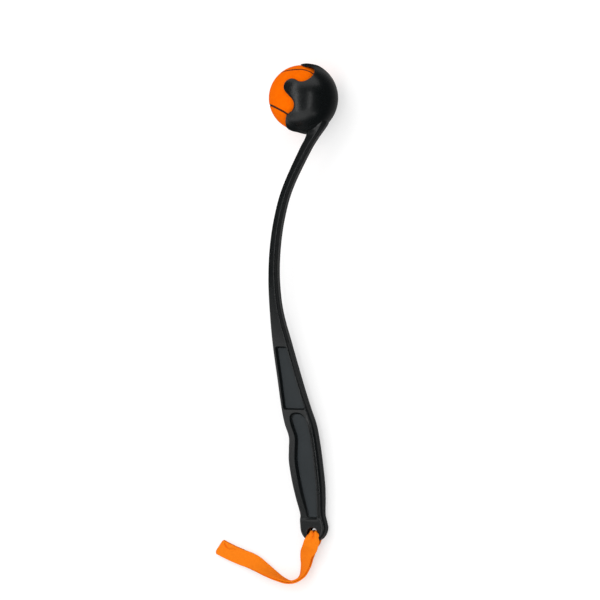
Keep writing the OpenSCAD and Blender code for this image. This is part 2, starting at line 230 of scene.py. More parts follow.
# Outline of the stick: distance from the cup's centre, back edge, depth, width, front and back rounding
STICK = [
    [16, 27.6, 11.1, 13.5, 1.5, 1.5],
    [29, 23.1, 10.3, 13.5, 1.5, 1.5],
    [50, 8.8, 8.4, 13.5, 1.5, 1.5],
    [90, -12.5, 6.9, 13.5, 1.5, 1.5],
    [120, -21.5, 6.7, 13.5, 1.5, 1.5],
    [150, -25.9, 6.9, 13.5, 1.5, 1.5],
    [180, -26.5, 7.5, 13.5, 1.5, 1.5],
    [210, -22.7, 9.8, 13.5, 1.5, 1.5],
    [242, -13.2, 16, 14, 1.5, 1.5],
    [280, -1.1, 22.3, 13.9, 1.5, 1.5],
    [306, 8.3, 28, 14, 2.4, 2.7],
    [321, 14.2, 30.2, 15, 2.4, 3.825],
    [334, 17.3, 28.6, 15.5, 2.4, 4.5],
    [345, 19.2, 30.5, 15.5, 2.4, 4.5],
    [358, 21.1, 32.4, 15.5, 2.4, 4.5],
    [380, 23.7, 31, 15.5, 2.4, 4.5],
    [396, 24.4, 27.5, 14.95, 2.4, 4.5],
    [410, 24.7, 24, 13.35, 2.4, 4.5],
    [416, 26.3, 26.2, 12.4, 2.4, 4.05],
    [422, 27.7, 27.2, 12, 2.4, 3.6],
]
BACK, DEPTH, WIDTH, FRONT_R, BACK_R = range(1, 6)
NECK, HANDLE_TOP, END, END_LEN, TIP_R = 16, 242, 422, 14.6, 2.5
TIP = END + END_LEN
CUP_R = 36
# Largest rounding, as a share of the section's smaller side
MOST_ROUND = 0.45


def rounding(x, r):
    return 0 if x >= r else r - math.sqrt(max(r * r - (r - x) ** 2, 0))


class Section:
    """Size of the stick across its length, at one distance from the cup's centre."""

    def __init__(self, d):
        at = min(d, END)
        full = through(STICK, at, DEPTH)
        self.d = d
        self.depth = full * math.sqrt(max(1 - (max(d - END, 0) / END_LEN) ** 2, 0))
        self.back = through(STICK, at, BACK) - (full - self.depth) / 2
        self.front = self.back - self.depth
        self.middle = (self.front + self.back) / 2
        self.half = through(STICK, at, WIDTH) / 2 - rounding(TIP - d, TIP_R)
        most = MOST_ROUND * min(self.depth, 2 * self.half)
        self.rf = min(through(STICK, at, FRONT_R), most)
        self.rb = min(through(STICK, at, BACK_R), most)

    def top(self, u):
        """Height of the left side over the middle plane."""
        if u < self.front + self.rf:
            r, x = self.rf, self.front + self.rf - u
        elif u > self.back - self.rb:
            r, x = self.rb, u - self.back + self.rb
        else:
            return self.half
        return self.half - r + math.sqrt(max(r * r - x * x, 0))

    def front_arc(self):
        for a in range(180, 89, -15):
            c, t = turn_of(a)
            yield self.front + self.rf + self.rf * c, self.half - self.rf + self.rf * t

    def back_arc(self, start, count):
        for i in range(count + 1):
            a = start + (math.pi / 2 - start) * i / count
            yield self.back - self.rb + self.rb * math.sin(a), self.half - self.rb + self.rb * math.cos(a)


# Wrist strap: stops of its route, with offset from the hole in X and Y, height, turn on edge,
# and spacing and skew of its two layers
WEB_W, WEB_T, GATHER_W, WRAP = 15.5, 1.3, 8.6, 14.6
ROUTE = [
    [0, 0, 0, HOLE.z / MM, 0, WRAP, 0],
    [1, -1.9, -7.5, 8.9, 0, WRAP, 4.5],
    [2, -5.2, -14.2, 8.6, 2, WRAP - 1.6, 6.6],
    [3, -8, -22, 7.8, 19, 6, 3],
    [4, -9.4, -31.2, 7.2, 34, 2.3, 0.6],
    [5, -12.1, -39.8, 7.6, 52, 1.9, 0],
    [6, -18, -46.5, 8.2, 76, 1.8, 0],
    [7, -27.3, -48.9, 8.2, 90, 1.8, 0],
    [8, -37, -46.2, 8.2, 86, 1.8, 0.5],
    [9, -48.5, -40.4, 8.7, 68, 2, 1],
    [10, -60, -34.2, 7.8, 45, 2.4, 1.2],
    [11, -70.5, -29.8, 5, 15, 3.2, 0.4],
    [12, -82.5, -26.2, 3.5, 0, 3.6, 0],
    [13, -94.5, -22, 3.5, 0, 3.6, 0],
    [14, -106, -17.2, 3.5, 0, 3.6, 0],
]
AT_X, AT_Y, HEIGHT, TURN, SPACING, SKEW = range(1, 7)
LAST = ROUTE[-1][0]
STOP_STEP = 0.1
# Bend at the hole's edge, and where the webbing has its full width again
BEND, SPREAD_END = 2.5, 1.3
# Lapped end inside the loop, and the stretch over which it leaves the lower layer
LAP_FROM, LAP_TO, LAP_GAP, LAP_RISE = 12, 13.5, 0.1, 0.7
# Upper layer beside the hole: its turn, its lift and how far it lies aside
UPPER_TWIST, TWIST_FROM, TWIST_FULL, TWIST_FADE, TWIST_END = 16, 0.2, 0.8, 1.0, 3.2
CLEAR_FADE, CLEAR_END = 1.6, 2.6
UPPER_ASIDE, HOLE_ASIDE, ASIDE_FADE, ASIDE_END = 2.6, 1.0, 1.0, 2.6
# Pleats of the gathered webbing: their shift across it, and their depth in the lower layer
PLEAT_SHIFT, LOWER_PLEAT = 0.3, 0.3
# Folded end: where the layers start to lean, its slope, and the rounding of its leading and trailing corners
FOLD_FROM, FOLD_LEAN, FOLD_STEP = 13.1, 0.21, 20
LEAD_FROM, LEAD_ROUND, TRAIL_FROM, TRAIL_ROUND = 0.55, 2.2, 0.7, 0.8
# Tuck beside the fold: stop on the route, place across the webbing, and depth
TUCK = [
    [12.4, 0.75, 0],
    [12.7, 0.66, 0.5],
    [13.1, 0.42, 0.7],
    [13.4, 0.36, 1],
    [13.65, 0.52, 1.9],
    [13.85, 0.68, 1],
    [14, 0.72, 0],
]
TUCK_PLACE, TUCK_DEPTH = 1, 2
TUCK_WIDE, RIDGE_WIDE, RIDGE_OFF, RIDGE = 0.14, 0.17, 0.3, 0.4
WEB_COLUMNS, WEB_EDGE = 32, 0.35


def route_point(s):
    x, y, z = (through(ROUTE, s, column) * MM for column in (AT_X, AT_Y, HEIGHT))
    return Vector((HOLE.x + x, HOLE.y + y, z))


def strap_axes(s, twist=0.0):
    """Run, face and across directions of the webbing at a stop on its route."""
    if s < 0.01:
        run = -TO_CUP
    else:
        run = (route_point(min(s + 0.05, LAST)) - route_point(s - 0.05)).normalized()
    up = (Vector((0, 0, 1)) - run * run.z).normalized()
    c, t = turn_of(through(ROUTE, s, TURN) + twist)
    face = up * c + run.cross(up) * t
    return run, face, run.cross(face)


def layer_width(s):
    """Width of the webbing as it spreads from its gathered stretch in the hole."""
    return WEB_W - (WEB_W - GATHER_W) * max(1 - s / SPREAD_END, 0) ** 2


class Stop:
    """One row of the webbing: its middle, its across and outward directions and its width.

    With them go the pull to the fold, the depth of the pleats, and the tuck with its place across.
    """

    def __init__(self, middle, across, out, width, pleat=1.0):
        self.middle = middle
        self.across = across
        self.out = out
        self.width = width
        self.pleat = pleat
        self.pull = Vector((0, 0, 0))
        self.tuck = 0
        self.place = 0

    def rise(self, x):
        """Height of the row over its middle, at a place from -1 to 1 across it."""
        deep = self.pleat * self.width / (2 * math.pi) * math.sqrt(max(WEB_W / self.width - 1, 0))
        height = deep * (1 - math.cos(2 * math.pi * x + PLEAT_SHIFT))
        if self.tuck:
            height += self.tuck * RIDGE * hump(x - self.place - RIDGE_OFF, RIDGE_WIDE)
            height -= self.tuck * hump(x - self.place, TUCK_WIDE)
        return height

    def point(self, x):
        way = self.across * x * self.width / 2 + self.out * self.rise(x) + self.pull * fold_reach(x)
        return self.middle + way * MM


def strap_stop(s, side, lift=0.0):
    """A row of the upper or the lower layer, at a stop on the route."""
    upper = max(side, 0)
    width = layer_width(s)
    twist = UPPER_TWIST * upper * ramp(s, TWIST_FROM, TWIST_FULL) * ramp(s, TWIST_END, TWIST_FADE)
    run, face, across = strap_axes(s)
    _, out, wide = strap_axes(s, -twist)
    clear = width / 2 * math.sin(math.radians(twist)) * ramp(s, CLEAR_END, CLEAR_FADE) / math.cos(LEAN)
    aside = through(ROUTE, s, SKEW) / 2
    if upper:
        aside = max(aside, UPPER_ASIDE * ramp(s, ASIDE_END, ASIDE_FADE))
    apart = side * through(ROUTE, s, SPACING) / 2 + lift
    middle = route_point(s) + (face * apart - across * side * aside + to_camera * clear) * MM
    stop = Stop(middle, wide, out * side, width, 1.0 if upper else LOWER_PLEAT)
    stop.pull = run * ramp(s, FOLD_FROM, LAST)
    if upper and s > TUCK[0][0]:
        stop.tuck = max(through(TUCK, s, TUCK_DEPTH), 0)
        stop.place = through(TUCK, s, TUCK_PLACE)
    return stop


def hole_stops(start):
    """Rows of the webbing round the hole's lower edge, through the hole and round its upper edge."""
    run, face, across = strap_axes(0)
    rise = WRAP / 2 - BEND

    def bend(side, angle):
        c, t = turn_of(angle)
        aside = (HOLE_ASIDE + (UPPER_ASIDE - HOLE_ASIDE) * c) * max(side, 0)
        middle = HOLE + (run * BEND * (1 - t) + face * side * (rise + BEND * c) - across * aside) * MM
        width = GATHER_W + (layer_width(start) - GATHER_W) * c
        pleat = 1 if side > 0 else 1 - (1 - LOWER_PLEAT) * c
        return Stop(middle, across, face * side * c - run * t, width, pleat)

    def straight(at):
        middle = HOLE + (face * rise * at - across * HOLE_ASIDE * max(at, 0)) * MM
        return Stop(middle, across, -run, GATHER_W)

    stops = [bend(-1, angle) for angle in range(15, 91, 15)]
    stops += [straight(at) for at in (-0.5, 0, 0.5)]
    return stops + [bend(1, angle) for angle in range(90, 14, -15)]


def fold_stops():
    """Rows of the webbing round its folded end."""
    run, face, across = strap_axes(LAST)
    half = through(ROUTE, LAST, SPACING) / 2
    stops = []
    for angle in range(0, 181, FOLD_STEP):
        c, t = turn_of(angle)
        out = run * t + face * c
        stop = Stop(route_point(LAST) + out * half * MM, across, out, WEB_W, 0)
        stop.pull = run
        stops.append(stop)
    return stops


def strap_stops():
    """Rows of the webbing from its lapped end inside the loop, through the hole and round to its end."""
    start = BEND * MM / (route_point(1) - route_point(0)).length
    stops = []
    s = LAP_TO
    while s > start:
        stops.append(strap_stop(s, -1, (WEB_T + LAP_GAP) * ramp(s, LAP_FROM - LAP_RISE, LAP_FROM)))
        s -= STOP_STEP
    stops.append(strap_stop(start, -1))
    stops += hole_stops(start)
    s = start
    while s < LAST:
        stops.append(strap_stop(s, 1))
        s += STOP_STEP
    stops += fold_stops()
    s = LAST - STOP_STEP
    while s > LAP_FROM:
        stops.append(strap_stop(s, -1))
        s -= STOP_STEP
    return stops


def fold_reach(x):
    """Reach of the fold past its middle, across the webbing: one corner leads, and both are rounded."""
    lead = LEAD_ROUND * max((-x - LEAD_FROM) / (1 - LEAD_FROM), 0) ** 2
    trail = TRAIL_ROUND * max((x - TRAIL_FROM) / (1 - TRAIL_FROM), 0) ** 2
    return -FOLD_LEAN * x * WEB_W / 2 - lead - trail


def webbing_strap():
    stops = strap_stops()
    places = [2 * j / WEB_COLUMNS - 1 for j in range(WEB_COLUMNS + 1)]
    rows = [[stop.point(x) for x in places] for stop in stops]
    length = 0.0
    run = [length]
    for before, after in zip(stops, stops[1:]):
        length += (after.middle - before.middle).length
        run.append(length / MM)
    strap = laid_grid("webbing_strap", rows, run, WEB_W)
    modify(strap, "SOLIDIFY", thickness=WEB_T * MM, offset=0)
    round_edges(strap, WEB_EDGE, 2)
    outward(strap)
    smooth(strap, 50)
    return strap, length


strap, strap_length = webbing_strap()


# Tang of the shaft and the two pins through it
TANG_W, TANG_T, TANG_LEN = 8, 3.4, 52
PIN_PLACES, PIN_R, PIN_LEN = (260, 282), 1.8, 5.6
FIT = 0.1
TANG_STEPS, TANG_LAP = 8, 1


def tang_block(gap):
    rows = []
    for i in range(TANG_STEPS + 1):
        d = HANDLE_TOP - TANG_LAP + (TANG_LEN + TANG_LAP + gap) * i / TANG_STEPS
        m, h, t = Section(d).middle, TANG_W / 2 + gap, TANG_T / 2 + gap
        ring = [(m - h, -t), (m + h, -t), (m + h, t), (m - h, t), (m - h, -t)]
        rows.append([spot(u, d, w) for u, w in ring])
    return closed_loft("tang", rows)


def spool(name, centre, levels):
    """A turned shape about the direction across the stick, through pairs of height and radius."""
    turns = [turn_of(angle) for angle in range(0, 361, 6)]
    ways = [TO_BACK * c + TO_CUP * t for c, t in turns]
    rows = [[centre + (TO_LEFT * w + way * r) * MM for way in ways] for w, r in levels]
    return closed_loft(name, rows)


def pin_bore(d):
    reach = PIN_LEN / 2 + FIT
    return spool("pin_bore", spot(Section(d).middle, d, 0), [(-reach, PIN_R + FIT), (reach, PIN_R + FIT)])


# Shaft: bowed bar with a fine parting line, flared where it meets the cup and sunk a little into its wall
SHAFT_RINGS = 150
LINE_HIGH, LINE_WIDE = 0.12, 0.35
FLARE, FLARE_REACH, SINK = 2, 7, 1.2


def shaft_point(s, u, w):
    """A point of the shaft's section, moved out by the flare and kept out of the cup's room for the ball."""
    reach = math.sqrt(u * u + s.d * s.d + w * w) - CUP_R
    flare = FLARE * min(max(1 - reach / FLARE_REACH, 0), 1) ** 2
    size = math.hypot(u - s.middle, w)
    u, w = u + (u - s.middle) / size * flare, w + w / size * flare
    push = max((CUP_R - SINK) / math.sqrt(u * u + s.d * s.d + w * w), 1)
    return spot(u * push, s.d * push, w * push)


def shaft_bar():
    rows = []
    for i in range(SHAFT_RINGS + 1):
        s = Section(NECK + i * (HANDLE_TOP - NECK) / SHAFT_RINGS)
        half = [(s.front - LINE_HIGH, 0), (s.front, LINE_WIDE), *s.front_arc()]
        half += [*s.back_arc(0, 6), (s.back, LINE_WIDE), (s.back + LINE_HIGH, 0)]
        ring = half + [(u, -w) for u, w in reversed(half[1:-1])] + half[:1]
        rows.append([shaft_point(s, u, w) for u, w in ring])
    shaft = closed_loft("shaft_bar", rows)
    cut(shaft, tang_block(0), "UNION")
    for d in PIN_PLACES:
        cut(shaft, pin_bore(d))
    smooth(shaft, 40)
    return shaft


shaft = shaft_bar()

# Handle shells: half sections with the two side panels sunk in behind sloping walls
PLATE = dict(
    top=246, end=306, front_rim=4, back_rim=2.1, top_corner=1.2, low_corner=1.2,
    floor=3.2, seat=4.0, slope=1.4, back_slope=0.5, end_slope=1.2, bead=0.0,
)
INLAY = dict(
    top=311, end=412.6, front_rim=8.8, back_rim=5.5, top_corner=6.5, low_corner=2,
    floor=3.2, seat=4.6, slope=1.7, back_slope=0.9, end_slope=1.4, bead=0.45,
)
WALL = [-1.4, -1.1, -0.8, -0.5, -0.2, 0, 0.2, 0.4, 0.6, 0.8, 1]
END_WALL = WALL[2:]
SILL = 0.06
HOLE_D, HOLE_EDGE, BORE_PAST = 11.6, 0.9, 5
BEAD_R, BEAD_FADE_ACROSS, BEAD_FADE_ALONG = 0.5, 4, 8
# Groove where the two shells meet
GROOVE_DEEP, GROOVE_WIDE = 0.25, 0.3
# Columns of a section: their least spacing, the most of them that share its room, the closer spacing
# of the back wall as a share of it, and the number of columns on the panel's floor
COLUMN_STEP, COLUMN_SHARE, BACK_SHARE, FLOOR_COLUMNS = 0.1, 40, 0.4, 8
# Part of the back's rounding that no column of a wall enters
BACK_KEPT = 0.3
ROW_STEP, TOP_ROW = 2, 0.7
SIDES = (("left", 1), ("right", -1))


def end_inset(x, corner, grow, end_grow):
    """Rounded end of a panel's outline, grown by one margin across it and by another along it."""
    reach = (corner + end_grow - x) / (corner + end_grow)
    return (corner + grow) * (1 - math.sqrt(max(1 - min(max(reach, 0), 1) ** 2, 0)))


def panel_inset(p, d, grow):
    """Loss of width of a panel's outline at its rounded ends, when it is grown by a margin."""
    end_grow = grow * p["end_slope"] / p["slope"]
    top = end_inset(d - p["top"] + end_grow, p["top_corner"], grow, end_grow)
    return top + end_inset(p["end"] + end_grow - d, p["low_corner"], grow, end_grow)


def panel_reach(p, s, u):
    """Distance inside a panel's outline; outside it is below 0, with the wall's top at minus the slope."""
    front = u - s.front - p["front_rim"]
    back = s.back - p["back_rim"] - u
    sides = (front, back if back > 0 else back * p["slope"] / p["back_slope"])
    ends = []
    for b, r in ((s.d - p["top"], p["top_corner"]), (p["end"] - s.d, p["low_corner"])):
        ends.append((b if b > 0 else b * p["slope"] / p["end_slope"], r))
    return min(r - math.hypot(max(r - a, 0), max(r - b, 0)) for a in sides for b, r in ends)


def panel_bead(p, s, u):
    """Height of the thin raised bead behind a panel and round its lower end."""
    r = p["low_corner"]
    behind = u - s.back + p["back_rim"] - p["back_slope"]
    below = s.d - p["end"] - p["end_slope"]
    out = math.hypot(max(behind + r, 0), max(below + r, 0)) - r
    fade = ease((u - s.front - s.rf) / BEAD_FADE_ACROSS) * ease((s.d - p["top"]) / BEAD_FADE_ALONG)
    return p["bead"] * fade * hump(out - BEAD_R, BEAD_R)


def panel_height(p, s, u):
    """Height of a shell's face over the middle plane, with the panel, its sloping wall and its bead."""
    reach = panel_reach(p, s, u)
    if reach > SILL / 2:
        return p["floor"]
    top = s.top(u)
    return top + panel_bead(p, s, u) - (top - p["seat"]) * ease(reach / p["slope"] + 1)


def shell_row(d, p, side):
    """One section of a handle shell, from its front edge over the panel to its back and the parting face.

    The columns of the two walls stay in order where the section is too narrow for the panel.
    """
    s = Section(d)
    line = [(s.front + GROOVE_DEEP, 0), (s.front, GROOVE_WIDE), *s.front_arc()]
    grows = [p["slope"] * (1 - t) for t in WALL] + [-SILL]
    back_scale = p["back_slope"] / p["slope"]
    u = line[-1][0]
    limit = s.back - BACK_KEPT * s.rb
    step = min(COLUMN_STEP, (limit - u) / COLUMN_SHARE)
    front_wall = []
    for i, g in enumerate(grows):
        inner = s.front + p["front_rim"] - g + panel_inset(p, d, g)
        u = min(max(inner, u + step), limit - step * (2 * len(grows) + FLOOR_COLUMNS - i))
        front_wall.append(u)
    u += FLOOR_COLUMNS * step
    back_step = BACK_SHARE * step
    back_wall = []
    for i, g in enumerate(reversed(grows)):
        inner = s.back - p["back_rim"] + g * back_scale - panel_inset(p, d, g)
        u = min(max(inner, u), limit - back_step * (len(grows) - i))
        back_wall.append(u)
        u += back_step
    wide = back_wall[0] - front_wall[-1]
    floor = [front_wall[-1] + wide * i / FLOOR_COLUMNS for i in range(1, FLOOR_COLUMNS)]
    last = back_wall[-1]
    flat = max(s.back - s.rb - last, 0)
    rim = [last + flat * i / 4 for i in (1, 2, 3)]
    line += [(u, panel_height(p, s, u)) for u in front_wall + floor + back_wall + rim]
    turn = math.asin(min(max((last - s.back + s.rb) / s.rb, 0), 1))
    line += list(s.back_arc(turn, 9))[1:]
    line += [(s.back, GROOVE_WIDE), (s.back - GROOVE_DEEP, 0), (s.middle, 0), (s.front + GROOVE_DEEP, 0)]
    return [spot(u, d, w * side) for u, w in line]


def panel_stops(p):
    """Distances of the sections along a panel, close together on its end walls and rounded corners."""
    walls = [p["end_slope"] * (1 - t) for t in END_WALL]
    bows = [1 - turn_of(angle)[0] for angle in range(10, 91, 10)]
    top = [p["top"] - g for g in walls] + [p["top"] + SILL]
    top += [d for d in (p["top"] + p["top_corner"] * b for b in bows) if d > p["top"] + 2 * SILL]
    low = [d for d in (p["end"] - p["low_corner"] * b for b in reversed(bows)) if d < p["end"] - 2 * SILL]
    low += [p["end"] - SILL] + [p["end"] + g for g in reversed(walls)]
    count = round((low[0] - top[-1]) / ROW_STEP)
    return top + [top[-1] + (low[0] - top[-1]) * i / count for i in range(1, count)] + low


def strap_bore():
    """Cutter of the strap's hole, flared where it rounds the hole's edges."""
    low = Section(END).half - HOLE_EDGE
    upper = []
    for angle in range(0, 91, 15):
        c, t = turn_of(angle)
        upper.append((low + HOLE_EDGE * t, HOLE_D / 2 + HOLE_EDGE * (1 - c)))
    upper.append((low + BORE_PAST, HOLE_D / 2 + HOLE_EDGE))
    return spool("strap_bore", HOLE, [(-w, r) for w, r in reversed(upper)] + upper)


def handle_shell(name, side):
    rows = [shell_row(d, PLATE, side) for d in (HANDLE_TOP, HANDLE_TOP + TOP_ROW, *panel_stops(PLATE))]
    rows += [shell_row(d, INLAY, side) for d in panel_stops(INLAY)]
    low = INLAY["end"] + INLAY["end_slope"] * (1 - END_WALL[0])
    rows += [shell_row(low + (END - low) * i / 4, INLAY, side) for i in range(1, 5)]
    rows += [shell_row(END + END_LEN * turn_of(angle)[1], INLAY, side) for angle in range(5, 89, 4)]
    shell = closed_loft(name, rows)
    cut(shell, strap_bore())
    cut(shell, tang_block(FIT))
    for d in PIN_PLACES:
        cut(shell, pin_bore(d))
    smooth(shell, 32)
    return shell


shells = [handle_shell("handle_shell_" + name, side) for name, side in SIDES]


# Cup: the clawed shell with its rims rounded and its brow drawn in to the ball
BROW_WAY = math.radians(69)
BROW_OFF, BROW_LEFT, BROW_NEAR, BROW_THIN, BROW_FADE, BROW_SHARE = 33.36, 4.7, 33.0, 0.8, 8, 0.9
CUP_VOXEL, CUP_RELAX = 0.5, 14


def clawed_cup():
    cup = cad_copy("clawed_cup", "cup")
    modify(cup, "REMESH", mode="VOXEL", voxel_size=CUP_VOXEL * MM)
    modify(cup, "SMOOTH", factor=0.5, iterations=CUP_RELAX)
    off_way = TO_BACK * math.cos(BROW_WAY) + TO_CUP * math.sin(BROW_WAY)
    tip_way = TO_CUP * math.cos(BROW_WAY) - TO_BACK * math.sin(BROW_WAY)
    for v in cup.data.vertices:
        p = (v.co - CUP_CENTRE) / MM
        along = p.dot(tip_way) + BROW_LEFT
        off = p.dot(off_way)
        if along > 0 and off > BROW_SHARE * BROW_OFF:
            under = BROW_OFF * p.length / off
            drawn = BROW_NEAR + (p.length - under) * BROW_THIN
            v.co = CUP_CENTRE + p * (1 + (drawn / p.length - 1) * ease(along / BROW_FADE)) * MM
    cup.data.update()
    smooth(cup, 60)
    return cup


cup = clawed_cup()


# Panels: plates and soft inlays with rounded edges, a little smaller than their pockets
PLATE_EDGE, INLAY_EDGE, INLAY_CROWN = 0.3, 0.5, 0.15
PANEL_COLUMNS, CLOSEST_ROWS = 10, 0.02


def panel_piece(name, p, edge, crown, side):
    first, last = p["top"] + FIT, p["end"] - FIT
    steps = [edge * (1 - turn_of(angle)[0]) for angle in range(0, 91, 18)]
    stops = {first + x for x in steps} | {last - x for x in steps}
    for angle in range(10, 91, 10):
        bow = 1 - turn_of(angle)[0]
        stops |= {first + p["top_corner"] * bow, last - p["low_corner"] * bow}
    count = round((last - first) / ROW_STEP)
    stops |= {first + (last - first) * i / count for i in range(count + 1)}
    rows = []
    for d in sorted(stops):
        if rows and d - rows[-1][0] < CLOSEST_ROWS:
            continue
        s = Section(d)
        ends = ((d - first, p["top_corner"]), (last - d, p["low_corner"]))
        inset = sum(rounding(b, r) for b, r in ends)
        front, back = s.front + p["front_rim"] + FIT, s.back - p["back_rim"] - FIT
        left, right = front + inset, back - inset
        wide = right - left - 2 * edge
        inner = [left + edge + wide * i / PANEL_COLUMNS for i in range(1, PANEL_COLUMNS)]
        columns = [left + x for x in steps] + inner + [right - x for x in reversed(steps)]
        line = [(left, p["floor"])]
        for u in columns:
            sides = (u - front, back - u)
            reach = min(r - math.hypot(max(r - a, 0), max(r - b, 0)) for a in sides for b, r in ends)
            bow = crown * (1 - (2 * (u - left) / (right - left) - 1) ** 2)
            line.append((u, p["seat"] + bow - rounding(reach, edge)))
        line += [(right, p["floor"]), (left, p["floor"])]
        rows.append((d, [spot(u, d, w * side) for u, w in line]))
    piece = closed_loft(name, [row for _, row in rows])
    smooth(piece, 35)
    return piece


plates = [panel_piece("plain_plate_" + name, PLATE, PLATE_EDGE, 0, side) for name, side in SIDES]
inlays = [panel_piece("soft_inlay_" + name, INLAY, INLAY_EDGE, INLAY_CROWN, side) for name, side in SIDES]

# Ball: two felt panels cut along the seam, with rounded edges and a fine nap
FELT_EDGE, NAP_SIZE, NAP_HIGH, NAP_LEVEL = 0.6, 2.2, 0.22, 0.7
BALL_R, FELT_T, SEAM_W, SEAM_DROP = 32.5, 2, 1.8, 0.4
SEAM_SLOPE = math.tan(math.radians(15))
SEAM_OUT = (BALL_R - SEAM_DROP / 2) * math.sqrt(0.5)
BALL_TURN = math.radians(-76)
BESIDE = TO_LEFT.cross(MOUTH)
BALL_Y = BESIDE * math.cos(BALL_TURN) + TO_LEFT * math.sin(BALL_TURN)
BALL_Z = TO_LEFT * math.cos(BALL_TURN) - BESIDE * math.sin(BALL_TURN)
BALL_FRAME = Matrix((MOUTH, BALL_Y, BALL_Z)).transposed()


def cut_ball(obj, normal, offset, keep_x):
    """Cuts the faces on one half of the ball along a plane."""
    mesh_op(obj, "DESELECT")
    object_mode()
    for f in obj.data.polygons:
        f.select = f.center.x * keep_x > 0
    bpy.ops.object.mode_set(mode="EDIT")
    bpy.ops.mesh.select_mode(type="FACE")
    normal = Vector(normal).normalized()
    bpy.ops.mesh.bisect(plane_co=normal * offset, plane_no=normal, use_fill=False)
    object_mode()


def felt_panel(name, second):
    bpy.ops.object.select_all(action="DESELECT")
    bpy.ops.mesh.primitive_ico_sphere_add(subdivisions=7, radius=BALL_R * MM)
    felt = bpy.context.active_object
    felt.name = name
    mesh_op(felt)
    bpy.ops.mesh.bisect(plane_co=(0, 0, 0), plane_no=(1, 0, 0))
    object_mode()
    scale = 1 / math.hypot(1, SEAM_SLOPE)
    inner = (SEAM_OUT - SEAM_W / 2) * MM * scale
    outer = (SEAM_OUT + SEAM_W / 2) * MM * scale
    for z in (1, -1):
        cut_ball(felt, (SEAM_SLOPE, 0, z), inner, 1)
        cut_ball(felt, (-SEAM_SLOPE, z, 0), outer, -1)
    mesh_op(felt, "DESELECT")
    object_mode()
    for f in felt.data.polygons:
        c = f.center / MM
        edge = SEAM_OUT - SEAM_SLOPE * abs(c.x)
        kept = abs(c.z) < edge - SEAM_W / 2 if c.x > 0 else abs(c.y) > edge + SEAM_W / 2
        f.select = not kept
    bpy.ops.object.mode_set(mode="EDIT")
    bpy.ops.mesh.select_mode(type="FACE")
    bpy.ops.mesh.delete(type="FACE")
    object_mode()
    merge(felt, 1e-5)
    modify(felt, "SOLIDIFY", thickness=FELT_T * MM, offset=-1)
    round_edges(felt, FELT_EDGE, 3)
    nap = bpy.data.textures.new("felt_nap", "CLOUDS")
    nap.noise_scale = NAP_SIZE * MM
    nap.noise_depth = 2
    modify(felt, "DISPLACE", texture=nap, texture_coords="LOCAL", strength=NAP_HIGH * MM, mid_level=NAP_LEVEL)
    turn = Matrix.Identity(3)
    if second:
        turn = Matrix.Rotation(math.radians(90), 3, "X") @ Matrix.Diagonal((-1, 1, 1))
    felt.data.transform(Matrix.Translation(CUP_CENTRE) @ (BALL_FRAME @ turn).to_4x4())
    if second:
        felt.data.flip_normals()
    smooth(felt, 60)
    return felt


felts = [felt_panel("felt_panel_a", False), felt_panel("felt_panel_b", True)]


# Stitches across the lapped end of the strap
STITCHES, STITCH_R, STITCH_SHARE, STITCH_PROUD = 5, 0.3, 0.45, 0.1
ROW_INSET, BARE_EDGES = 0.25, 4


def strap_stitches():
    bpy.ops.object.select_all(action="DESELECT")
    pitch = (WEB_W - BARE_EDGES) / STITCHES
    made = []
    for s in (LAP_FROM + ROW_INSET, LAP_TO - ROW_INSET):
        run, face, across = strap_axes(s)
        below = through(ROUTE, s, SPACING) / 2 + WEB_T / 2 + STITCH_PROUD
        base = route_point(s) - face * below * MM
        for i in range(STITCHES):
            bpy.ops.mesh.primitive_uv_sphere_add(segments=12, ring_count=8, radius=STITCH_R * MM)
            stitch = bpy.context.active_object
            stitch.data.transform(Matrix.Diagonal((1, 1, STITCH_SHARE * pitch / STITCH_R, 1)))
            place = Matrix((run, face, across)).transposed().to_4x4()
            place.translation = base + across * (i - (STITCHES - 1) / 2) * pitch * MM
            stitch.data.transform(place)
            made.append(stitch)
    bpy.ops.object.select_all(action="DESELECT")
    for o in made:
        o.select_set(True)
    bpy.context.view_layer.objects.active = made[0]
    bpy.ops.object.join()
    made[0].name = "strap_stitches"
    smooth(made[0], 60)
    return made[0]


stitches = strap_stitches()


# Materials
def add_node(tree, kind, **values):
    made = tree.nodes.new(kind)
    for key, value in values.items():
        if hasattr(made, key):
            setattr(made, key, value)
        else:
            made.inputs[key.replace("_", " ")].default_value = value
    return made


def calc(tree, operation, *terms):
    """A Math node on values or sockets."""
    made = tree.nodes.new("ShaderNodeMath")
    made.operation = operation
    for i, term in enumerate(terms):
        if hasattr(term, "node"):
            tree.links.new(term, made.inputs[i])
        else:
            made.inputs[i].default_value = term
    return made.outputs[0]


def weighed(tree, first, share, second, other_share):
    """Sum of two values, each times its share."""
    other = calc(tree, "MULTIPLY", second, other_share)
    return calc(tree, "ADD", calc(tree, "MULTIPLY", first, share), other)


def spread(tree, value, low, high, to_low=0.0, to_high=1.0):
    """A value from one range to another."""
    made = add_node(tree, "ShaderNodeMapRange", From_Min=low, From_Max=high, To_Min=to_low, To_Max=to_high)
    tree.links.new(value, made.inputs["Value"])
    return made.outputs[0]


def tint(tree, factor, first, second):
    """A colour between two colours or sockets."""
    made = tree.nodes.new("ShaderNodeMix")
    made.data_type = "RGBA"
    tree.links.new(factor, made.inputs[0])
    for socket, value in ((made.inputs[6], first), (made.inputs[7], second)):
        if hasattr(value, "node"):
            tree.links.new(value, socket)
        else:
            socket.default_value = value
    return made.outputs[2]


def new_group(name, inputs, outputs):
    group = bpy.data.node_groups.new(name, "ShaderNodeTree")
    for label, kind, value in inputs:
        socket = group.interface.new_socket(name=label, in_out="INPUT", socket_type=kind)
        if value is not None:
            socket.default_value = value
    for label, kind in outputs:
        group.interface.new_socket(name=label, in_out="OUTPUT", socket_type=kind)
    return group, group.nodes.new("NodeGroupInput").outputs, group.nodes.new("NodeGroupOutput").inputs


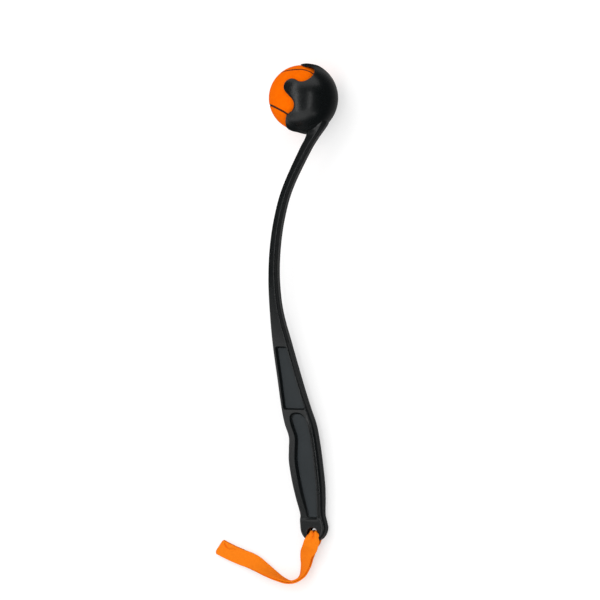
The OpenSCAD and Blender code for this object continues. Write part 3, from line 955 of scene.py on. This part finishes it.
def place_group(tree, group, vector, **values):
    made = tree.nodes.new("ShaderNodeGroup")
    made.node_tree = group
    tree.links.new(vector, made.inputs["Place"])
    for key, value in values.items():
        made.inputs[key.replace("_", " ")].default_value = value
    return made.outputs


VECTOR, FLOAT = "NodeSocketVector", "NodeSocketFloat"


def surface_grain():
    """Fine grain of a moulded surface, and a slow change of tone over it."""
    group, given, out = new_group(
        "surface_grain",
        [("Place", VECTOR, None), ("Size", FLOAT, 1800.0)],
        [("Height", FLOAT), ("Tone", FLOAT)],
    )
    fine = add_node(group, "ShaderNodeTexNoise", Detail=3.0, Roughness=0.6)
    slow = add_node(group, "ShaderNodeTexNoise", Scale=38.0, Detail=4.0, Roughness=0.55)
    for tex in (fine, slow):
        group.links.new(given["Place"], tex.inputs["Vector"])
    group.links.new(given["Size"], fine.inputs["Scale"])
    group.links.new(fine.outputs["Fac"], out["Height"])
    group.links.new(weighed(group, slow.outputs["Fac"], 0.75, fine.outputs["Fac"], 0.25), out["Tone"])
    return group


def painted_edge_highlight():
    """Mask of a painted highlight on sharp convex edges, where their rounding would catch the light, broken up by
    noise.
    """
    group, given, out = new_group(
        "painted_edge_highlight",
        [("Place", VECTOR, None), ("From", FLOAT, 0.54), ("To", FLOAT, 0.66)],
        [("Mask", FLOAT)],
    )
    shape = group.nodes.new("ShaderNodeNewGeometry")
    edge_breakup = add_node(group, "ShaderNodeTexNoise", Scale=420.0, Detail=4.0)
    group.links.new(given["Place"], edge_breakup.inputs["Vector"])
    edge = group.nodes.new("ShaderNodeMapRange")
    group.links.new(shape.outputs["Pointiness"], edge.inputs["Value"])
    group.links.new(given["From"], edge.inputs["From Min"])
    group.links.new(given["To"], edge.inputs["From Max"])
    broken = spread(group, edge_breakup.outputs["Fac"], 0.35, 0.65, 0.25, 1.0)
    group.links.new(calc(group, "MULTIPLY", edge.outputs[0], broken), out["Mask"])
    return group


def cloth_fibres():
    """Tangled short fibres: their height and a change of tone between them."""
    group, given, out = new_group(
        "cloth_fibres",
        [("Place", VECTOR, None), ("Size", FLOAT, 900.0)],
        [("Height", FLOAT), ("Tone", FLOAT)],
    )
    tangle = add_node(group, "ShaderNodeTexNoise", Detail=5.0, Roughness=0.7, Distortion=2.5)
    tuft = add_node(group, "ShaderNodeTexNoise", Detail=3.0, Roughness=0.6)
    for tex in (tangle, tuft):
        group.links.new(given["Place"], tex.inputs["Vector"])
    group.links.new(given["Size"], tangle.inputs["Scale"])
    group.links.new(calc(group, "MULTIPLY", given["Size"], 0.22), tuft.inputs["Scale"])
    group.links.new(calc(group, "ADD", tangle.outputs["Fac"], tuft.outputs["Fac"]), out["Height"])
    group.links.new(weighed(group, tangle.outputs["Fac"], 0.6, tuft.outputs["Fac"], 0.4), out["Tone"])
    return group


GRAIN, EDGE_HIGHLIGHT, FIBRES = surface_grain(), painted_edge_highlight(), cloth_fibres()
TONE_RANGE, ROUGH_CHANGE = (0.3, 0.7), 0.05
# Depth of the relief of smooth stuff and of cloth, in metres
FINE_RELIEF, CLOTH_RELIEF = 0.0001, 0.0003
# Spacing of the webbing's ribs and of its crossing threads, in millimetres
RIB, CROSSING = 1.1, 1.5


def colour(r, g, b):
    """Linear colour of the sRGB levels that the eye sees."""
    levels = [x / 255 for x in (r, g, b)]
    return tuple(x / 12.92 if x < 0.0404 else ((x + 0.055) / 1.055) ** 2.4 for x in levels) + (1,)


def new_finish(name, specular, sheen=0.0):
    material = bpy.data.materials.new(name)
    material.use_nodes = True
    tree = material.node_tree
    shader = tree.nodes["Principled BSDF"]
    shader.inputs["Specular IOR Level"].default_value = specular
    shader.inputs["Sheen Weight"].default_value = sheen
    return material, tree, shader, tree.nodes.new("ShaderNodeTexCoord").outputs


def raise_surface(tree, shader, height, strength, distance):
    bump = add_node(tree, "ShaderNodeBump", Strength=strength, Distance=distance)
    tree.links.new(height, bump.inputs["Height"])
    tree.links.new(bump.outputs["Normal"], shader.inputs["Normal"])


def moulded_finish(name, low, high, edge_lit, size, rough, strength, specular, metallic=0.0):
    """Moulded or drawn stuff with grain, a slow change of tone and a painted highlight on its edges."""
    material, tree, shader, place = new_finish(name, specular)
    grain = place_group(tree, GRAIN, place["Object"], Size=size)
    edge_light = place_group(tree, EDGE_HIGHLIGHT, place["Object"])
    shade = tint(tree, spread(tree, grain["Tone"], *TONE_RANGE), colour(*low), colour(*high))
    # Painted highlight: sharp edges are lightened towards a paler colour, as if they caught the light
    tree.links.new(tint(tree, edge_light["Mask"], shade, colour(*edge_lit)), shader.inputs["Base Color"])
    gloss = spread(tree, grain["Tone"], *TONE_RANGE, rough - ROUGH_CHANGE, rough + ROUGH_CHANGE)
    tree.links.new(gloss, shader.inputs["Roughness"])
    raise_surface(tree, shader, grain["Height"], strength, FINE_RELIEF)
    shader.inputs["Metallic"].default_value = metallic
    return material


def felt_finish():
    material, tree, shader, place = new_finish("orange_felt", 0.02, 0.04)
    shader.inputs["Sheen Roughness"].default_value = 0.5
    shader.inputs["Sheen Tint"].default_value = colour(255, 150, 60)
    shader.inputs["Roughness"].default_value = 0.95
    fibres = place_group(tree, FIBRES, place["Object"], Size=1100.0)
    shade = tint(tree, spread(tree, fibres["Tone"], *TONE_RANGE), colour(243, 97, 0), colour(255, 118, 2))
    tree.links.new(shade, shader.inputs["Base Color"])
    raise_surface(tree, shader, fibres["Height"], 0.45, CLOTH_RELIEF)
    return material


def webbing_finish(length):
    """Ribbed flat weave laid out along the webbing, with painted shade in its creases and the tuck, and sealed
    ends.
    """
    material, tree, shader, place = new_finish("orange_webbing", 0.05, 0.03)
    shader.inputs["Sheen Roughness"].default_value = 0.4
    shader.inputs["Sheen Tint"].default_value = colour(255, 170, 90)
    split = tree.nodes.new("ShaderNodeSeparateXYZ")
    tree.links.new(place["UV"], split.inputs[0])
    across, along = split.outputs[0], split.outputs[1]

    def wave(value, turns):
        return calc(tree, "SINE", calc(tree, "MULTIPLY", value, turns))

    over = calc(tree, "MULTIPLY", wave(across, 2 * math.pi / RIB), wave(along, 2 * math.pi / CROSSING))
    ribs = calc(tree, "ABSOLUTE", wave(across, math.pi / RIB))
    weave = weighed(tree, over, 0.3, ribs, 0.7)
    fibres = place_group(tree, FIBRES, place["Object"], Size=1500.0)
    tone = weighed(tree, spread(tree, weave, -0.3, 1.0), 0.5, fibres["Tone"], 0.5)
    shade = tint(tree, spread(tree, tone, 0.25, 0.8), colour(240, 112, 8), colour(255, 142, 30))
    # Painted shade: hollow places found by their pointiness are darkened towards a deep orange
    shape = tree.nodes.new("ShaderNodeNewGeometry")
    painted_crease_shade = spread(tree, shape.outputs["Pointiness"], 0.44, 0.49, 1.0, 0.0)
    shade = tint(tree, painted_crease_shade, shade, colour(150, 64, 0))
    from_end = calc(tree, "MINIMUM", along, calc(tree, "SUBTRACT", length / MM, along))
    sealed = spread(tree, from_end, 0.7, 1.5, 1.0, 0.0)
    tree.links.new(tint(tree, sealed, shade, colour(150, 62, 4)), shader.inputs["Base Color"])
    tree.links.new(spread(tree, sealed, 0.0, 1.0, 0.75, 0.4), shader.inputs["Roughness"])
    height = calc(tree, "ADD", weave, calc(tree, "MULTIPLY", fibres["Height"], 0.25))
    raise_surface(tree, shader, height, 0.5, CLOTH_RELIEF)
    return material


def thread_finish():
    """Twisted thread: slanting strands round each stitch."""
    material, tree, shader, place = new_finish("orange_thread", 0.2, 0.1)
    shader.inputs["Roughness"].default_value = 0.6
    twist = add_node(
        tree, "ShaderNodeTexWave", wave_type="BANDS", bands_direction="DIAGONAL", Scale=900.0, Distortion=1.5,
    )
    tree.links.new(place["Object"], twist.inputs["Vector"])
    shade = tint(tree, twist.outputs["Fac"], colour(205, 88, 4), colour(240, 116, 14))
    tree.links.new(shade, shader.inputs["Base Color"])
    raise_surface(tree, shader, twist.outputs["Fac"], 0.4, FINE_RELIEF)
    return material


moulded = moulded_finish(
    "moulded_black_plastic", (8, 12, 13), (12, 16, 17), (38, 41, 42),
    size=2400.0, rough=0.27, strength=0.1, specular=0.5,
)
plate_finish = moulded_finish(
    "plate_grey_plastic", (31, 37, 40), (38, 44, 47), (62, 66, 67),
    size=3000.0, rough=0.45, strength=0.2, specular=0.34,
)
grip_finish = moulded_finish(
    "soft_grip_rubber", (31, 37, 40), (38, 44, 47), (60, 64, 65),
    size=1500.0, rough=0.5, strength=0.35, specular=0.34,
)
seam_finish = moulded_finish(
    "dark_seam_rubber", (34, 20, 8), (52, 31, 11), (70, 44, 18),
    size=900.0, rough=0.65, strength=0.3, specular=0.25,
)
core_finish = moulded_finish(
    "core_black_rubber", (26, 26, 26), (36, 36, 36), (52, 52, 52),
    size=700.0, rough=0.65, strength=0.3, specular=0.25,
)
steel = moulded_finish(
    "pin_bare_steel", (150, 152, 155), (170, 172, 175), (195, 197, 200),
    size=900.0, rough=0.3, strength=0.1, specular=0.5, metallic=1.0,
)

dress(strap, webbing_finish(strap_length), "webbing", "strap", "wrist_strap")
dress(stitches, thread_finish(), "thread", "strap", "strap_stitching")
dress(shaft, moulded, "moulded_plastic", "launcher", "shaft")
dress(shells[0], moulded, "moulded_plastic", "launcher", "handle_left")
dress(shells[1], moulded, "moulded_plastic", "launcher", "handle_right")
dress(cup, moulded, "moulded_plastic", "launcher", "cup")
felt_stuff = felt_finish()
for i, (name, _) in enumerate(SIDES):
    dress(plates[i], plate_finish, "plate_plastic", "launcher", "label_plate_" + name)
    dress(inlays[i], grip_finish, "soft_grip", "launcher", "grip_inlay_" + name)
    dress(felts[i], felt_stuff, "felt", "ball", "ball_felt_" + "ab"[i])
for node, finish in (
    ("ball_seam", seam_finish),
    ("ball_core_front", core_finish),
    ("ball_core_rear", core_finish),
    ("tang_pins", steel),
):
    frame["nodes"][node].data.materials.clear()
    frame["nodes"][node].data.materials.append(finish)


# Floor and world: white to the camera and in reflections, a little dimmer as light on the object
FLOOR_SIZE, FLOOR_GLOW, WORLD_LIGHT = 12, 0.47, 0.86


def seen_rays(tree):
    """1 for the camera's rays and for those in gloss and glass."""
    rays = tree.nodes.new("ShaderNodeLightPath").outputs
    gloss = calc(tree, "MAXIMUM", rays["Is Glossy Ray"], rays["Is Transmission Ray"])
    return calc(tree, "MAXIMUM", rays["Is Camera Ray"], gloss)


bpy.ops.object.select_all(action="DESELECT")
bpy.ops.mesh.primitive_plane_add(size=FLOOR_SIZE)
floor = bpy.context.active_object
floor.name = "floor"
floor_finish, tree, shader, _ = new_finish("pale_floor", 0.0)
shader.inputs["Base Color"].default_value = (0.6, 0.6, 0.6, 1)
shader.inputs["Roughness"].default_value = 0.9
shader.inputs["Emission Color"].default_value = (1, 1, 1, 1)
tree.links.new(calc(tree, "MULTIPLY", seen_rays(tree), FLOOR_GLOW), shader.inputs["Emission Strength"])
floor.data.materials.append(floor_finish)

world = bpy.data.worlds.new("studio")
scene.world = world
world.use_nodes = True
tree = world.node_tree
sky = tree.nodes["Background"].inputs
sky["Color"].default_value = (1, 1, 1, 1)
tree.links.new(spread(tree, seen_rays(tree), 0.0, 1.0, WORLD_LIGHT, 1.0), sky["Strength"])


def beside_camera(angle):
    """Direction at an angle to the right of the camera's, seen from the object."""
    c, t = turn_of(angle)
    return to_right * t + to_camera * c


# Lamps: two slim strips that only streak the glossy cup, and a broad soft one
def soft_lamp(name, angle, rise, distance, width, length, power, on_cloth):
    way = (beside_camera(angle) + TO_CUP * rise).normalized()
    data = bpy.data.lights.new(name, "AREA")
    data.shape = "RECTANGLE"
    data.size = width
    data.size_y = length
    data.energy = power
    data.diffuse_factor = on_cloth
    lamp = bpy.data.objects.new(name, data)
    lamp.location = CUP_CENTRE + way * distance
    lamp.rotation_mode = "QUATERNION"
    side = TO_CUP.cross(way).normalized()
    lamp.rotation_quaternion = Matrix((side, way.cross(side), way)).transposed().to_quaternion()
    scene.collection.objects.link(lamp)


STRIP = dict(distance=0.85, width=0.1, length=0.9, power=0.8, on_cloth=0)
soft_lamp("strip_lamp_left", angle=-17, rise=-0.25, **STRIP)
soft_lamp("strip_lamp_right", angle=25, rise=-0.2, **STRIP)
soft_lamp("broad_lamp", angle=-40, rise=0.5, distance=2.0, width=1.2, length=1.2, power=6, on_cloth=1)


# Cards that show only in reflections, each with a tone from one edge to the other
def reflected_card(name, rows, tones):
    card = laid_grid(name, rows)
    finish, tree, shader, place = new_finish(name + "_tone", 0.0)
    shader.inputs["Roughness"].default_value = 1.0
    split = tree.nodes.new("ShaderNodeSeparateXYZ")
    tree.links.new(place["UV"], split.inputs[0])
    ramp = tree.nodes.new("ShaderNodeValToRGB")
    tree.links.new(split.outputs[0], ramp.inputs[0])
    while len(ramp.color_ramp.elements) < len(tones):
        ramp.color_ramp.elements.new(0.5)
    for element, (at, tone) in zip(ramp.color_ramp.elements, tones):
        element.position = at
        element.color = (tone, tone, tone, 1)
    tree.links.new(ramp.outputs[0], shader.inputs["Base Color"])
    card.data.materials.append(finish)
    for ray in ("camera", "diffuse", "transmission", "volume_scatter", "shadow"):
        setattr(card, "visible_" + ray, False)


def arc_rows(angles, distance, stops):
    return [[spot(0, d, 0) + beside_camera(a) * distance for a in angles] for d in stops]


def floor_rows(stops):
    """Rows on the floor that keep their distance from the back of the stick."""
    rows = []
    for d in stops:
        back = Section(min(max(d, NECK), END)).back
        y = spot(0, d, 0).y
        rows.append([Vector(((back + x) * MM, y, FLOOR_CARD_Z)) for x in FLOOR_CARD_X])
    return rows


def foot_rows():
    """Rows of an upright card past the strapped end."""
    y = spot(0, FOOT_AT, 0).y
    return [[Vector((x, y, z)) for x in (-0.36, 0, 0.5)] for z in (0.003, 0.08, 0.16)]


def even(tone):
    return [(0, tone), (1, tone)]


FAR, NEAR = 1.0, 0.35
ALONG, FOOT_AT = (-700, 0, 500, 900), 640
FLOOR_CARD_X, FLOOR_CARD_Z = (-300, -20, 0, 25, 60, 200, 1000), 0.002
RIGHT_TONES = [(0, 0.14), (0.45, 0.13), (0.68, 0.02), (1, 0.02)]
FLOOR_TONES = [(0, 0.03), (0.167, 0.03), (0.333, 0.32), (0.5, 0.12), (0.667, 0.03), (1, 0.02)]
reflected_card("right_card", arc_rows(range(-13, 68, 5), FAR, ALONG), RIGHT_TONES)
reflected_card("floor_card", floor_rows((-700, *range(0, 430, 30), 900)), FLOOR_TONES)
reflected_card("cup_card", arc_rows(range(-100, -25, 5), NEAR, (-350, -100, 215)), even(0.1))
reflected_card("foot_card", foot_rows(), even(0.05))
reflected_card("end_card", arc_rows(range(-80, -25, 5), NEAR, (392, 450, 520)), even(0.55))
